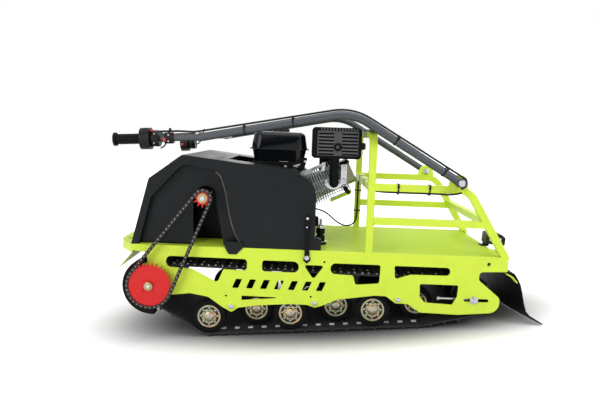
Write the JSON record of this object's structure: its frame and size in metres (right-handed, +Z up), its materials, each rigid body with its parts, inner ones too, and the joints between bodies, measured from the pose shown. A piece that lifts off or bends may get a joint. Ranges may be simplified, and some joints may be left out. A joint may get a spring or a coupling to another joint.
{
  "type": "tracked motor tow unit",
  "caption": "Walk-behind tracked tow machine with a laser-cut body, rubber track, engine under a hood, load cage and folding tiller.",
  "frame": {"origin": "on the ground under the middle of the machine's outline", "axes": "+X to the rear, +Y to the machine's right, +Z up; the deck rises 4.6 degrees towards the front"},
  "size_m": [1.5282, 0.662, 0.8025],
  "materials": {
    "lime_paint": "gloss",
    "black_plastic": "matte",
    "black_paint": "gloss",
    "dark_tube_paint": "satin",
    "red_paint": "gloss",
    "rubber": "matte",
    "track_rubber": "matte",
    "zinc": "satin",
    "steel": "satin",
    "chain_steel": "satin",
    "cast_aluminium": "matte"
  },
  "bodies": {
    "machine": {"air_cleaner": "black_plastic", "axle_bearings": "steel", "big_sprocket": "red_paint", "bogie_frames_left": "black_paint", "bogie_frames_right": "black_paint", "bumper": "lime_paint", "cable_loop": "rubber", "cable_rail": "rubber", "cage_cross_tubes": "lime_paint", "cage_hoop": "lime_paint", "cage_side_left": "lime_paint", "cage_side_right": "lime_paint", "chain": "chain_steel", "crankcase": "cast_aluminium", "deck": "lime_paint", "drive_axle": "black_plastic", "drive_guard": "black_paint", "exhaust_flange": "steel", "exhaust_pipe": "black_paint", "finned_cylinder": "cast_aluminium", "flap_holders": "lime_paint", "front_deflector": "lime_paint", "fuel_cap": "black_plastic", "fuel_tank": "black_paint", "hinge_ear_left": "lime_paint", "hinge_ear_right": "lime_paint", "hood": "black_plastic", "hood_strap_left": "rubber", "hood_strap_right": "rubber", "jackshaft": "steel", "jackshaft_stand": "black_paint", "lamp_bracket": "steel", "mudflap": "rubber", "rear_idler": "black_plastic", "rear_lamp": "black_plastic", "recoil_starter": "black_paint", "roller_discs_left": "zinc", "roller_discs_right": "zinc", "roller_tyres_left": "rubber", "roller_tyres_right": "rubber", "rubber_mount": "rubber", "side_panel_left": "lime_paint", "side_panel_right": "lime_paint", "silencer": "chain_steel", "silencer_guard": "black_paint", "small_sprocket": "red_paint", "tank_brackets": "black_paint", "tensioner_left": "steel", "tensioner_right": "steel", "tow_hitch": "lime_paint", "track": "track_rubber", "valve_cover": "black_paint"},
    "tiller": {"cable_tiller": "rubber", "control_pod_left": "black_plastic", "control_pod_right": "black_plastic", "grip_left": "rubber", "grip_right": "rubber", "tiller_frame": "dark_tube_paint"}
  },
  "joints": [
    {"name": "tiller_fold", "type": "hinge", "parent": "machine", "child": "tiller", "pos_m": [0.46727, 0, 0.531], "axis": [0, 1, 0], "range_deg": [0, 150]}
  ]
}
